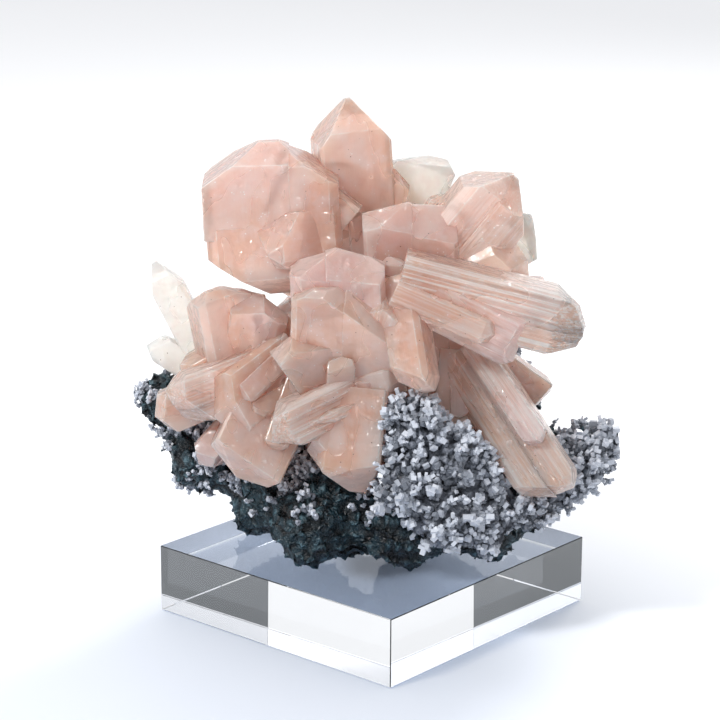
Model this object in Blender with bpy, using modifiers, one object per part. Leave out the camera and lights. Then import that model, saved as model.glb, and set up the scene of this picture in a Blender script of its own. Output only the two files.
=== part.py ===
"""A stilbite specimen on a clear square block.

Sprays of tabular crystals grow out of a dark basalt matrix, with a pale chalcedony crust low on its front.
Frame: origin at the centre of the block's underside, +Z up, the specimen's front towards -Y.
"""
import math

import bmesh
import bpy
from mathutils import Matrix, Vector, noise

MM = 0.001

# Driving dimensions, in millimetres
BLOCK_SIDE = 80.0
BLOCK_THICKNESS = 18.0
BLOCK_TURN = -40.7
BLOCK_EDGE = 0.6
SPECIMEN_WIDTH = 126.0
SPECIMEN_HEIGHT = 119.0
SPECIMEN_DEPTH = 84.0
GAP = 0.3
ROUGH_GAP = 0.8
WELD = 0.004

# How finely the lumps are shaped, in millimetres
ROCK_VOXEL = 2.4
ROCK_RELIEF = 2.2
ROCK_GRAIN = 6.0
ROCK_KEEP = 0.26
CRUST_VOXEL = 1.5
CRUST_RELIEF = 1.3
CRUST_GRAIN = 3.4
CRUST_KEEP = 0.24

STONE_TOP = BLOCK_THICKNESS + GAP


def place(across, back, up):
    """A point from shares of the specimen's half width, half depth and height above the block."""
    return Vector((
        across * SPECIMEN_WIDTH / 2,
        back * SPECIMEN_DEPTH / 2,
        STONE_TOP + up * SPECIMEN_HEIGHT,
    ))


class Crystal:
    """One tablet of a spray.

    lean is degrees from upright towards +X and nod is degrees towards the front. spin turns the tablet about
    its own length. point is how long the termination is, and blunt is the share of the width left at its end.
    """

    def __init__(self, lean, nod, length, width, thickness, spin=0, point=3, blunt=0.6):
        self.lean = math.radians(lean)
        self.nod = math.radians(nod)
        self.spin = math.radians(spin)
        self.length = length
        self.width = width
        self.thickness = thickness
        self.point = point
        self.blunt = blunt


# Each spray has one root and the crystals that grow from it, with lengths in millimetres
SPRAYS = {
    "crown": (place(-0.05, 0.10, 0.51), [
        Crystal(-4, 3, 58, 19, 13, spin=15, point=11, blunt=0.08),
        Crystal(-15, 0, 46, 15, 11, spin=10),
        Crystal(12, 2, 42, 10, 8, point=4, blunt=0.3),
        Crystal(22, -4, 47, 17, 9),
    ]),
    "left_shoulder": (place(-0.41, -0.19, 0.72), [
        Crystal(-2, 4, 24, 35, 16, point=10, blunt=0.15),
    ]),
    "shoulder_foot": (place(-0.41, -0.19, 0.77), [
        Crystal(175, 4, 22, 35, 16, point=11, blunt=0.15),
    ]),
    "shoulder_front": (place(-0.15, -0.16, 0.71), [
        Crystal(-50, -6, 26, 20, 13, point=4),
        Crystal(-88, 32, 25, 15, 12, spin=12, point=6, blunt=0.3),
    ]),
    "centre": (place(-0.12, -0.34, 0.34), [
        Crystal(-3, 10, 47, 24, 15, point=6, blunt=0.2),
        Crystal(2, 19, 39, 28, 12, spin=-6),
        Crystal(-30, 22, 30, 15, 12, spin=12),
        Crystal(16, 14, 38, 16, 12, spin=-14),
    ]),
    "right_shoulder": (place(0.16, -0.15, 0.57), [
        Crystal(-4, 14, 29, 24, 13, point=4),
        Crystal(38, 2, 42, 21, 14, spin=6, point=10, blunt=0.1),
        Crystal(69, 6, 33, 17, 13, point=6, blunt=0.3),
        Crystal(61, -16, 38, 15, 10, point=5, blunt=0.4),
        Crystal(88, 12, 35, 12, 11),
    ]),
    "sheaf": (place(0.10, -0.46, 0.64), [
        Crystal(104, 3, 52, 16, 15, point=13, blunt=0.3),
        Crystal(116, 6, 35, 15, 14, point=4),
        Crystal(170, 28, 31, 10, 10, spin=20, point=5),
    ]),
    "right_fall": (place(0.36, -0.24, 0.46), [
        Crystal(144, 26, 46, 16, 11, point=5),
        Crystal(185, 22, 25, 13, 9, point=7, blunt=0.3),
        Crystal(128, -12, 27, 15, 7),
    ]),
    "left_slabs": (place(-0.54, -0.14, 0.36), [
        Crystal(-9, 8, 31, 19, 12, spin=25),
        Crystal(12, 14, 30, 15, 10),
        Crystal(-62, 14, 20, 13, 10, point=4),
    ]),
    "left_fall": (place(-0.33, -0.22, 0.44), [
        Crystal(-107, 18, 35, 14, 10, point=7, blunt=0.4),
        Crystal(-113, 2, 41, 11, 9, point=5),
        Crystal(-122, 28, 27, 18, 14, point=4),
        Crystal(-153, 25, 36, 20, 14, point=4),
        Crystal(-138, 8, 38, 8, 8, spin=30, point=4, blunt=0.3),
    ]),
    "front_fall": (place(-0.06, -0.48, 0.40), [
        Crystal(-111, 24, 28, 12, 10, point=8, blunt=0.3),
        Crystal(70, 20, 14, 10, 9, point=4),
        Crystal(186, 20, 29, 17, 14, spin=10, point=10, blunt=0.3),
        Crystal(-156, 20, 25, 13, 11, point=4),
    ]),
    "pale_blades": (place(-0.64, -0.02, 0.36), [
        Crystal(-26, 2, 37, 9, 5, point=8, blunt=0.15),
        Crystal(-56, 2, 23, 8, 5, point=5, blunt=0.2),
    ]),
    "ridge": (place(0.0, 0.16, 0.50), [
        Crystal(-20, -20, 43, 18, 12, spin=8),
        Crystal(10, -24, 41, 20, 12, spin=-10, point=5),
        Crystal(34, -20, 36, 17, 12, spin=15, point=4),
        Crystal(-52, -18, 36, 18, 13, point=4),
        Crystal(66, -22, 34, 17, 12, spin=10, point=4),
    ]),
    "back": (place(0.0, 0.30, 0.52), [
        Crystal(-26, -46, 30, 19, 13, point=5),
        Crystal(6, -54, 30, 22, 14, spin=20, point=5),
        Crystal(42, -46, 29, 18, 12, point=4),
        Crystal(-74, -36, 34, 17, 13, spin=15, point=4),
        Crystal(86, -38, 33, 16, 12, point=5),
        Crystal(-112, -24, 32, 14, 11, point=4),
        Crystal(12, -78, 24, 19, 15, spin=30, point=4),
    ]),
}

# A wide tablet carries a thinner, shorter plate on its front, and so ends in a step
PLATE_FROM_WIDTH = 13.0
PLATE_WIDTH_SHARE = 0.62
PLATE_SHIFT_SHARE = 0.8
PLATE_RISE = 0.9
PLATE_SETBACK = 2.6

# A crystal that leans further back than this, in degrees, shows its other side as its outer face
BACK_NOD = -20.0

# The hidden heart that every spray grows from: its centre and its half sizes
HEART_PLACE = place(-0.03, -0.10, 0.46)
HEART_SIZE = (29.0, 14.0, 18.0)

# Lumps are a centre, as place() takes it, and a radius. The lowest are cut level where the stone stands.
ROCK_LUMPS = [
    (-0.42, -0.10, 0.12, 13),
    (-0.12, -0.24, 0.12, 15),
    (0.24, -0.24, 0.12, 15),
    (0.54, -0.14, 0.12, 13),
    (-0.24, -0.42, 0.09, 12),
    (0.12, -0.46, 0.09, 12),
    (0.46, -0.36, 0.09, 11),
    (-0.70, 0.00, 0.20, 11),
    (-0.87, 0.04, 0.32, 8),
    (0.74, -0.04, 0.17, 11),
    (0.88, -0.04, 0.21, 8),
    (-0.34, 0.44, 0.16, 19),
    (0.26, 0.50, 0.15, 19),
    (0.00, 0.34, 0.34, 22),
    (-0.42, 0.20, 0.32, 17),
    (0.44, 0.22, 0.30, 17),
]

CRUST_LUMPS = [
    (0.02, -0.62, 0.30, 7),
    (0.14, -0.66, 0.34, 7),
    (0.12, -0.68, 0.22, 8),
    (0.30, -0.66, 0.28, 7),
    (0.26, -0.66, 0.15, 9),
    (0.42, -0.58, 0.13, 9),
    (0.44, -0.50, 0.23, 8),
    (0.60, -0.40, 0.15, 9),
    (0.72, -0.30, 0.18, 9),
    (0.84, -0.20, 0.21, 7),
    (0.93, -0.15, 0.24, 5),
]


def new_collection(name):
    """A collection in the scene."""
    collection = bpy.data.collections.new(name)
    bpy.context.scene.collection.children.link(collection)
    return collection


def new_material(name, colour, roughness, alpha=1.0):
    """A Principled material with the sub-part's own colour."""
    material = bpy.data.materials.new(name)
    material.use_nodes = True
    shader = material.node_tree.nodes["Principled BSDF"]
    shader.inputs["Base Color"].default_value = (*colour, 1.0)
    shader.inputs["Roughness"].default_value = roughness
    shader.inputs["Metallic"].default_value = 0.0
    shader.inputs["Alpha"].default_value = alpha
    return material


def new_object(name, bm, collection, material=None):
    """An object from a bmesh in millimetres."""
    bmesh.ops.scale(bm, vec=(MM, MM, MM), verts=bm.verts)
    bmesh.ops.recalc_face_normals(bm, faces=bm.faces)
    mesh = bpy.data.meshes.new(name)
    bm.to_mesh(mesh)
    bm.free()
    if material:
        mesh.materials.append(material)
    obj = bpy.data.objects.new(name, mesh)
    collection.objects.link(obj)
    return obj


def as_cutter(obj):
    """Marks an object as a helper that is not part of the model."""
    obj.hide_render = True
    obj.display_type = 'WIRE'
    return obj


def evaluated_mesh(obj):
    """The object's mesh with its modifiers applied."""
    graph = bpy.context.evaluated_depsgraph_get()
    graph.update()
    return bpy.data.meshes.new_from_object(obj.evaluated_get(graph))


def apply_modifiers(obj):
    """Replaces the object's mesh by its evaluated one."""
    mesh = evaluated_mesh(obj)
    obj.modifiers.clear()
    obj.data = mesh


def keep_largest_body(obj):
    """Welds the slivers along a cut and deletes its crumbs, so that one closed body stays."""
    bm = bmesh.new()
    bm.from_mesh(obj.data)
    bmesh.ops.triangulate(bm, faces=bm.faces)
    bmesh.ops.remove_doubles(bm, verts=bm.verts, dist=WELD * MM)
    bmesh.ops.dissolve_degenerate(bm, edges=bm.edges, dist=WELD * MM)
    unseen = set(bm.faces)
    bodies = []
    while unseen:
        stack = [unseen.pop()]
        body = []
        while stack:
            face = stack.pop()
            body.append(face)
            for edge in face.edges:
                for other in edge.link_faces:
                    if other in unseen:
                        unseen.remove(other)
                        stack.append(other)
        bodies.append(body)
    bodies.sort(key=lambda body: sum(face.calc_area() for face in body), reverse=True)
    crumbs = [face for body in bodies[1:] for face in body]
    bmesh.ops.delete(bm, geom=crumbs, context='FACES')
    bm.to_mesh(obj.data)
    bm.free()


def crystal_frame(root, crystal):
    """The matrix that stands a crystal on its root: local Z runs along its length and Y to its back."""
    level = math.cos(crystal.nod)
    along = Vector((math.sin(crystal.lean) * level, -math.sin(crystal.nod), math.cos(crystal.lean) * level))
    width = along.cross(Vector((0.0, -1.0, 0.0))).normalized()
    thick = along.cross(width).normalized()
    turn = Matrix((width, thick, along)).transposed().to_4x4()
    return Matrix.Translation(root) @ turn @ Matrix.Rotation(crystal.spin, 4, 'Z')


def cut_away(bm, point, normal):
    """Cuts off what lies beyond a plane and closes the cut."""
    geometry = bm.verts[:] + bm.edges[:] + bm.faces[:]
    cut = bmesh.ops.bisect_plane(bm, geom=geometry, plane_co=point, plane_no=normal, clear_outer=True)
    rim = [item for item in cut["geom_cut"] if isinstance(item, bmesh.types.BMEdge)]
    bmesh.ops.edgeloop_fill(bm, edges=rim)


def make_tablet(width, thickness, length, point, blunt, grow):
    """A tablet along Z with four sloping end faces."""
    half_width = width / 2 + grow
    half_thick = thickness / 2 + grow
    end = length + grow
    slope = point * half_thick / half_width
    bm = bmesh.new()
    bmesh.ops.create_cube(bm, size=1.0)
    bmesh.ops.scale(bm, vec=(2 * half_width, 2 * half_thick, end), verts=bm.verts)
    bmesh.ops.translate(bm, vec=(0, 0, end / 2), verts=bm.verts)
    for side in (-1, 1):
        across = Vector((side * point, 0, half_width * (1 - blunt)))
        cut_away(bm, Vector((side * half_width, 0, end - point)), across)
        through = Vector((0, side * slope, half_thick * (1 - blunt)))
        cut_away(bm, Vector((0, side * half_thick, end - slope)), through)
    return bm


def make_crystal(root, crystal, grow):
    """A crystal's tablet, standing on its root."""
    bm = make_tablet(crystal.width, crystal.thickness, crystal.length, crystal.point, crystal.blunt, grow)
    bm.transform(crystal_frame(root, crystal))
    return bm


def make_plate(root, crystal, number, grow):
    """The thinner plate on a wide crystal's front, to its left and right by turns."""
    side = 1 if number % 2 else -1
    width = crystal.width * PLATE_WIDTH_SHARE
    sideways = side * (crystal.width - width) / 2 * PLATE_SHIFT_SHARE
    shift = Vector((sideways, PLATE_RISE * front_sign(crystal), 0.0))
    bm = make_tablet(width, crystal.thickness, crystal.length - PLATE_SETBACK, crystal.point, crystal.blunt,
                     grow)
    bmesh.ops.translate(bm, vec=shift, verts=bm.verts)
    bm.transform(crystal_frame(root, crystal))
    return bm


def front_sign(crystal):
    """Which way along its local Y a crystal's outer face looks: the back spray's is turned about."""
    frame = crystal_frame(Vector(), crystal)
    towards_front = (frame.to_3x3() @ Vector((0.0, 1.0, 0.0))).y < 0
    return 1 if towards_front == (crystal.nod > math.radians(BACK_NOD)) else -1


def make_heart(grow):
    """The lump inside the cluster that joins all sprays."""
    bm = bmesh.new()
    bmesh.ops.create_icosphere(bm, subdivisions=2, radius=1.0)
    bmesh.ops.scale(bm, vec=[size + grow for size in HEART_SIZE], verts=bm.verts)
    bmesh.ops.translate(bm, vec=HEART_PLACE, verts=bm.verts)
    return bm


def join_with(body, piece):
    """Joins a helper to the body. The solver is the one that takes dozens of crossing tablets."""
    join = body.modifiers.new("Join", 'BOOLEAN')
    join.operation = 'UNION'
    join.solver = 'MANIFOLD'
    join.object = piece


def make_cluster(name, collection, helpers, material=None, grow=0.0):
    """All crystals and the heart in one solid, each grown by a margin where it serves as a cutter."""
    cluster = new_object(name, make_heart(grow), collection, material)
    for spray, (root, crystals) in SPRAYS.items():
        for number, crystal in enumerate(crystals, start=1):
            join_with(cluster, as_cutter(new_object(f"{name}_{spray}_{number}",
                                                    make_crystal(root, crystal, grow), helpers)))
            if crystal.width >= PLATE_FROM_WIDTH:
                join_with(cluster, as_cutter(new_object(f"{name}_{spray}_{number}_plate",
                                                        make_plate(root, crystal, number, grow), helpers)))
    apply_modifiers(cluster)
    keep_largest_body(cluster)
    return cluster


def make_lumps(name, lumps, voxel, relief, grain, keep, collection, material):
    """Balls fused into one lumpy body, with its surface pushed in and out."""
    bm = bmesh.new()
    for across, back, up, radius in lumps:
        ball = bmesh.ops.create_icosphere(bm, subdivisions=3, radius=radius)
        bmesh.ops.translate(bm, vec=place(across, back, up), verts=ball["verts"])
    body = new_object(name, bm, collection, material)
    fuse = body.modifiers.new("Fuse", 'REMESH')
    fuse.mode = 'VOXEL'
    fuse.voxel_size = voxel * MM
    apply_modifiers(body)
    for vertex in body.data.vertices:
        push = noise.noise(vertex.co / (grain * MM)) * relief * MM
        vertex.co += vertex.normal * push
    thin = body.modifiers.new("Thin", 'DECIMATE')
    thin.ratio = keep
    apply_modifiers(body)
    keep_largest_body(body)
    return body


def cut_with(body, cutter):
    """Cuts a body by a helper and keeps its largest part."""
    cut = body.modifiers.new("Cut", 'BOOLEAN')
    cut.operation = 'DIFFERENCE'
    cut.solver = 'MANIFOLD'
    cut.object = cutter
    apply_modifiers(body)
    keep_largest_body(body)


def grown_copy(obj, margin, helpers):
    """A helper a little larger than the object, to keep a gap around it."""
    copy = obj.copy()
    copy.data = obj.data.copy()
    copy.name = obj.name + "_grown"
    helpers.objects.link(copy)
    swell = copy.modifiers.new("Swell", 'DISPLACE')
    swell.mid_level = 0.0
    swell.strength = margin * MM
    return as_cutter(copy)


def make_floor_cutter(helpers):
    """Everything below the block's top face, where the rock stands."""
    size = 2 * SPECIMEN_WIDTH
    bm = bmesh.new()
    bmesh.ops.create_cube(bm, size=size)
    bmesh.ops.translate(bm, vec=(0, 0, STONE_TOP - size / 2), verts=bm.verts)
    return as_cutter(new_object("below_the_stone", bm, helpers))


def make_block(collection, material):
    """The clear square block, with its polished edges just broken."""
    bm = bmesh.new()
    bmesh.ops.create_cube(bm, size=1.0)
    bmesh.ops.scale(bm, vec=(BLOCK_SIDE, BLOCK_SIDE, BLOCK_THICKNESS), verts=bm.verts)
    bmesh.ops.translate(bm, vec=(0, 0, BLOCK_THICKNESS / 2), verts=bm.verts)
    block = new_object("display_block", bm, collection, material)
    block.rotation_euler.z = math.radians(BLOCK_TURN)
    edge = block.modifiers.new("Edge", 'BEVEL')
    edge.width = BLOCK_EDGE * MM
    edge.segments = 1
    return block


def build():
    """Makes the four sub-parts."""
    for obj in list(bpy.data.objects):
        bpy.data.objects.remove(obj, do_unlink=True)
    parts = new_collection("stilbite")
    helpers = new_collection("helpers")

    make_block(parts, new_material("clear_acrylic", (0.86, 0.88, 0.90), 0.05, 0.35))
    pink = new_material("stilbite_pink", (0.76, 0.45, 0.33), 0.35)
    dark = new_material("basalt_dark", (0.05, 0.07, 0.07), 0.70)
    pale = new_material("chalcedony_pale", (0.62, 0.58, 0.60), 0.45)

    cluster = make_cluster("stilbite_cluster", parts, helpers, material=pink)
    grown_cluster = as_cutter(make_cluster("cluster_grown", helpers, helpers, grow=GAP))
    floor = make_floor_cutter(helpers)
    cut_with(cluster, floor)

    rock = make_lumps("basalt_matrix", ROCK_LUMPS, ROCK_VOXEL, ROCK_RELIEF, ROCK_GRAIN, ROCK_KEEP,
                      parts, dark)
    cut_with(rock, floor)
    cut_with(rock, grown_cluster)

    crust = make_lumps("chalcedony_crust", CRUST_LUMPS, CRUST_VOXEL, CRUST_RELIEF, CRUST_GRAIN, CRUST_KEEP,
                       parts, pale)
    cut_with(crust, floor)
    cut_with(crust, grown_cluster)
    cut_with(crust, grown_copy(rock, ROUGH_GAP, helpers))


build()
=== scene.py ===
# %% [markdown]
# # A stilbite specimen on a clear block
#
# Peach-pink tablets of stilbite fan out of a dark basalt matrix, with a pale chalcedony crust low on the
# front. The solids of the four sub-parts come from the frame. This lesson gives each its fine surface:
# stepped laths for the crystals, a carved skin for the rock, knobs and twigs of grains for the crust, and
# clear acrylic for the block.

# %% Load the frame
import math
from random import Random

import bmesh
import bpy
from mathutils import Matrix, Vector, noise


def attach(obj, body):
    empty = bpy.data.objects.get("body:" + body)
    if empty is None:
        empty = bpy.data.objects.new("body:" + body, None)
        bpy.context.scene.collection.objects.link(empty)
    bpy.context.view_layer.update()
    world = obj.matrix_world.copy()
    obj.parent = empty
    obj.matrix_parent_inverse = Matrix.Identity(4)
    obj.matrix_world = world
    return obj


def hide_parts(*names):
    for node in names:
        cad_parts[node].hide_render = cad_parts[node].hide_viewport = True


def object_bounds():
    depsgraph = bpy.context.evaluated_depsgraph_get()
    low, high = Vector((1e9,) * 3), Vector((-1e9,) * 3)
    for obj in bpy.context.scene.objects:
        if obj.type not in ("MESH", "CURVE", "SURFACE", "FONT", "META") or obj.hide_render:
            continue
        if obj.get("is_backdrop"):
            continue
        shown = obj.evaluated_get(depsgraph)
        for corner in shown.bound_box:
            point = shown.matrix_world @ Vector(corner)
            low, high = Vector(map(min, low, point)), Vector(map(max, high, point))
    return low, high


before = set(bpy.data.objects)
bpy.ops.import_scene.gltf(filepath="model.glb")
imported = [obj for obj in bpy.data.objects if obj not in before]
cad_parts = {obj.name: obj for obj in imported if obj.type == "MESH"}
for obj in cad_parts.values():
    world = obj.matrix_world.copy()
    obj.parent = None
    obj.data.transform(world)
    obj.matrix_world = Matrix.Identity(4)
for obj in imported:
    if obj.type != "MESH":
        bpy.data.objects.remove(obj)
low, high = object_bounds()
CAD_BOX = {"low": list(low), "high": list(high)}
MM = 0.001
print("the object spans, in mm:", [round((b - a) / MM, 1) for a, b in zip(low, high)])

# %% [markdown]
# ## The camera
#
# A long lens from well back keeps the block's edges nearly parallel, as a product shot does. The camera
# could be placed by an empty that it tracks. Working out its place from an elevation and a distance is
# shorter, and both numbers then say something about the picture.

# %% Place the camera
ELEVATION = math.radians(15.8)
DISTANCE = 650 * MM
LENS = 125.0
ROLL = math.radians(0.28)
AIM = Vector((-3.63, 0.0, 67.92)) * MM
SENSOR_WIDTH = 36.0
NEAREST = 0.01


def in_scene(name, data):
    """An object that holds this data, in the scene."""
    obj = bpy.data.objects.new(name, data)
    bpy.context.scene.collection.objects.link(obj)
    return obj


def make_camera():
    """The camera in front of the specimen, a little above it."""
    data = bpy.data.cameras.new("camera")
    data.lens = LENS
    data.sensor_width = SENSOR_WIDTH
    data.clip_start = NEAREST
    camera = in_scene("camera", data)
    back = Vector((0.0, -math.cos(ELEVATION), math.sin(ELEVATION)))
    turn = back.to_track_quat('Z', 'Y').to_matrix().to_4x4()
    stand = Matrix.Translation(AIM + back * DISTANCE)
    camera.matrix_world = stand @ turn @ Matrix.Rotation(ROLL, 4, 'Z')
    bpy.context.scene.camera = camera
    return camera


camera = make_camera()
print("camera height, in mm:", round(camera.matrix_world.translation.z / MM))

# %% [markdown]
# ## Where the crystals stand
#
# A natural cluster has no rule that gives each crystal its lean, so the sprays are listed, with
# the same roots, leans and lengths that the solids have.

# %% The sprays
SPECIMEN_WIDTH = 126.0
SPECIMEN_HEIGHT = 119.0
SPECIMEN_DEPTH = 84.0
STONE_TOP = 18.3


def place(across, back, up):
    """A point from shares of the specimen's half width, half depth and height, in millimetres."""
    return Vector((
        across * SPECIMEN_WIDTH / 2,
        back * SPECIMEN_DEPTH / 2,
        STONE_TOP + up * SPECIMEN_HEIGHT,
    ))


class Crystal:
    """One tablet of a spray, with its lean, its nod to the front and its sizes in millimetres.

    ribbed is 1 on a crystal that shows its laths, and 0 on a smooth one. A pale one has hardly any colour,
    partly its own pale tone and partly a painted glow of light passing through it.
    """

    def __init__(self, lean, nod, length, width, thickness,
                 spin=0, point=3, blunt=0.6, ribbed=0.0, pale=False):
        self.lean = math.radians(lean)
        self.nod = math.radians(nod)
        self.spin = math.radians(spin)
        self.length = length
        self.width = width
        self.thickness = thickness
        self.point = point
        self.blunt = blunt
        self.ribbed = ribbed
        self.pale = pale


# Each spray has one root and the crystals that grow from it, with lengths in millimetres
SPRAYS = {
    "crown": (place(-0.05, 0.10, 0.51), [
        Crystal(-4, 3, 58, 19, 13, spin=15, point=11, blunt=0.08),
        Crystal(-15, 0, 46, 15, 11, spin=10),
        Crystal(12, 2, 42, 10, 8, point=4, blunt=0.3),
        Crystal(22, -4, 47, 17, 9, pale=True),
    ]),
    "left_shoulder": (place(-0.41, -0.19, 0.72), [
        Crystal(-2, 4, 24, 35, 16, point=10, blunt=0.15),
    ]),
    "shoulder_foot": (place(-0.41, -0.19, 0.77), [
        Crystal(175, 4, 22, 35, 16, point=11, blunt=0.15),
    ]),
    "shoulder_front": (place(-0.15, -0.16, 0.71), [
        Crystal(-50, -6, 26, 20, 13, point=4),
        Crystal(-88, 32, 25, 15, 12, spin=12, point=6, blunt=0.3),
    ]),
    "centre": (place(-0.12, -0.34, 0.34), [
        Crystal(-3, 10, 47, 24, 15, point=6, blunt=0.2),
        Crystal(2, 19, 39, 28, 12, spin=-6),
        Crystal(-30, 22, 30, 15, 12, spin=12),
        Crystal(16, 14, 38, 16, 12, spin=-14, ribbed=0.4),
    ]),
    "right_shoulder": (place(0.16, -0.15, 0.57), [
        Crystal(-4, 14, 29, 24, 13, point=4),
        Crystal(38, 2, 42, 21, 14, spin=6, point=10, blunt=0.1, ribbed=0.3),
        Crystal(69, 6, 33, 17, 13, point=6, blunt=0.3),
        Crystal(61, -16, 38, 15, 10, point=5, blunt=0.4, pale=True),
        Crystal(88, 12, 35, 12, 11),
    ]),
    "sheaf": (place(0.10, -0.46, 0.64), [
        Crystal(104, 3, 52, 16, 15, point=13, blunt=0.3, ribbed=1.0),
        Crystal(116, 6, 35, 15, 14, point=4, ribbed=0.3),
        Crystal(170, 28, 31, 10, 10, spin=20, point=5),
    ]),
    "right_fall": (place(0.36, -0.24, 0.46), [
        Crystal(144, 26, 46, 16, 11, point=5, ribbed=0.5),
        Crystal(185, 22, 25, 13, 9, point=7, blunt=0.3),
        Crystal(128, -12, 27, 15, 7),
    ]),
    "left_slabs": (place(-0.54, -0.14, 0.36), [
        Crystal(-9, 8, 31, 19, 12, spin=25),
        Crystal(12, 14, 30, 15, 10),
        Crystal(-62, 14, 20, 13, 10, point=4),
    ]),
    "left_fall": (place(-0.33, -0.22, 0.44), [
        Crystal(-107, 18, 35, 14, 10, point=7, blunt=0.4, ribbed=0.5),
        Crystal(-113, 2, 41, 11, 9, point=5),
        Crystal(-122, 28, 27, 18, 14, point=4),
        Crystal(-153, 25, 36, 20, 14, point=4),
        Crystal(-138, 8, 38, 8, 8, spin=30, point=4, blunt=0.3),
    ]),
    "front_fall": (place(-0.06, -0.48, 0.40), [
        Crystal(-111, 24, 28, 12, 10, point=8, blunt=0.3, ribbed=0.8),
        Crystal(70, 20, 14, 10, 9, point=4),
        Crystal(186, 20, 29, 17, 14, spin=10, point=10, blunt=0.3),
        Crystal(-156, 20, 25, 13, 11, point=4),
    ]),
    "pale_blades": (place(-0.64, -0.02, 0.36), [
        Crystal(-26, 2, 37, 9, 5, point=8, blunt=0.15, pale=True),
        Crystal(-56, 2, 23, 8, 5, point=5, blunt=0.2, pale=True),
    ]),
    "ridge": (place(0.0, 0.16, 0.50), [
        Crystal(-20, -20, 43, 18, 12, spin=8),
        Crystal(10, -24, 41, 20, 12, spin=-10, point=5),
        Crystal(34, -20, 36, 17, 12, spin=15, point=4),
        Crystal(-52, -18, 36, 18, 13, point=4),
        Crystal(66, -22, 34, 17, 12, spin=10, point=4),
    ]),
    "back": (place(0.0, 0.30, 0.52), [
        Crystal(-26, -46, 30, 19, 13, point=5),
        Crystal(6, -54, 30, 22, 14, spin=20, point=5),
        Crystal(42, -46, 29, 18, 12, point=4),
        Crystal(-74, -36, 34, 17, 13, spin=15, point=4),
        Crystal(86, -38, 33, 16, 12, point=5),
        Crystal(-112, -24, 32, 14, 11, point=4),
        Crystal(12, -78, 24, 19, 15, spin=30, point=4),
    ]),
}
print("crystals listed:", sum(len(crystals) for root, crystals in SPRAYS.values()))

# %% [markdown]
# ## A crystal as a bundle of laths
#
# Stilbite grows as sheaves: a tablet is laths side by side, and they end at slightly different heights. A
# texture could fake the lines, but not the stepped ends that catch the light. So each tablet is split
# across its width and its thickness, the ribbed ones finely, and every lath gets its own small setback.
# All setbacks go inwards, which keeps the crystal inside its solid.

# %% Cut one lath
SMOOTH_LATH = 15.0
RIBBED_LATH = 1.9
LATH_DEPTH = 11.0
LATH_OVERLAP = 0.35
END_SETBACK = 1.3
SIDE_SETBACK = 0.5
POINTED = 0.15
END_FACETS = 4
CORNER_LEAST = 0.06
CORNER_SPREAD = 0.16
CORNER_TILT = 0.6
FACET_ACROSS = 0.75
FACET_THROUGH = 0.9
FACET_DROP = 0.25


def cut_away(bm, point, normal):
    """Cuts off what lies beyond a plane and closes the cut."""
    geometry = bm.verts[:] + bm.edges[:] + bm.faces[:]
    cut = bmesh.ops.bisect_plane(bm, geom=geometry, plane_co=point, plane_no=normal, clear_outer=True)
    rim = [item for item in cut["geom_cut"] if isinstance(item, bmesh.types.BMEdge)]
    if rim:
        bmesh.ops.edgeloop_fill(bm, edges=rim)


def crystal_facets(crystal, dice):
    """A crystal's own trimming planes: its long corners taken off and a few odd faces at its tip."""
    half_width = crystal.width / 2
    half_thick = crystal.thickness / 2
    facets = []
    for x_side in (-1, 1):
        for y_side in (-1, 1):
            depth = (CORNER_LEAST + CORNER_SPREAD * dice.random()) * crystal.thickness
            normal = Vector((x_side, y_side * (CORNER_TILT + dice.random()), 0))
            facets.append((Vector((x_side * half_width, y_side * (half_thick - depth), 0)), normal))
    for _ in range(END_FACETS if crystal.blunt > POINTED else 0):
        across = dice.uniform(-FACET_ACROSS, FACET_ACROSS)
        through = dice.uniform(-FACET_THROUGH, FACET_THROUGH)
        tip = Vector((0, 0, crystal.length - FACET_DROP * crystal.point))
        facets.append((tip, Vector((across, through, 1.0))))
    return facets


def make_lath(crystal, x_span, y_span, setback, facets=()):
    """A box through the crystal, trimmed by the crystal's four end faces and its own facets."""
    half_width = crystal.width / 2
    half_thick = crystal.thickness / 2
    end = crystal.length - setback
    slope = crystal.point * half_thick / half_width
    bm = bmesh.new()
    bmesh.ops.create_cube(bm, size=1.0)
    size = (x_span[1] - x_span[0], y_span[1] - y_span[0], end)
    centre = ((x_span[0] + x_span[1]) / 2, (y_span[0] + y_span[1]) / 2, end / 2)
    bmesh.ops.scale(bm, vec=size, verts=bm.verts)
    bmesh.ops.translate(bm, vec=centre, verts=bm.verts)
    for side in (-1, 1):
        across = Vector((side * crystal.point, 0, half_width * (1 - crystal.blunt)))
        cut_away(bm, Vector((side * half_width, 0, end - crystal.point)), across)
        through = Vector((0, side * slope, half_thick * (1 - crystal.blunt)))
        cut_away(bm, Vector((0, side * half_thick, end - slope)), through)
    for point, normal in facets:
        cut_away(bm, point - Vector((0, 0, setback)), normal)
    return bm


probe = make_lath(Crystal(0, 0, 40, 16, 10), (-8, -4), (-5, 0), 0.5)
print("faces on a lath beside the edge:", len(probe.faces))
probe.free()

# %% [markdown]
# ## Join the laths and the crystals
#
# The union is made in two steps, laths into a crystal and crystals into the cluster, because each step
# then works on small meshes. Every face remembers which crystal it came from, so that the material can run
# its lines along that crystal's length.

# %% Build the cluster
HEART_PLACE = place(-0.03, -0.10, 0.46)
HEART_SIZE = Vector((29.0, 14.0, 18.0))
CRYSTAL_SEED = 4
LATH_SPREAD = (0.6, 1.4)


def linked(name, bm):
    """An object in the scene from a bmesh, which is freed."""
    mesh = bpy.data.meshes.new(name)
    bm.to_mesh(mesh)
    bm.free()
    return in_scene(name, mesh)


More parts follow.
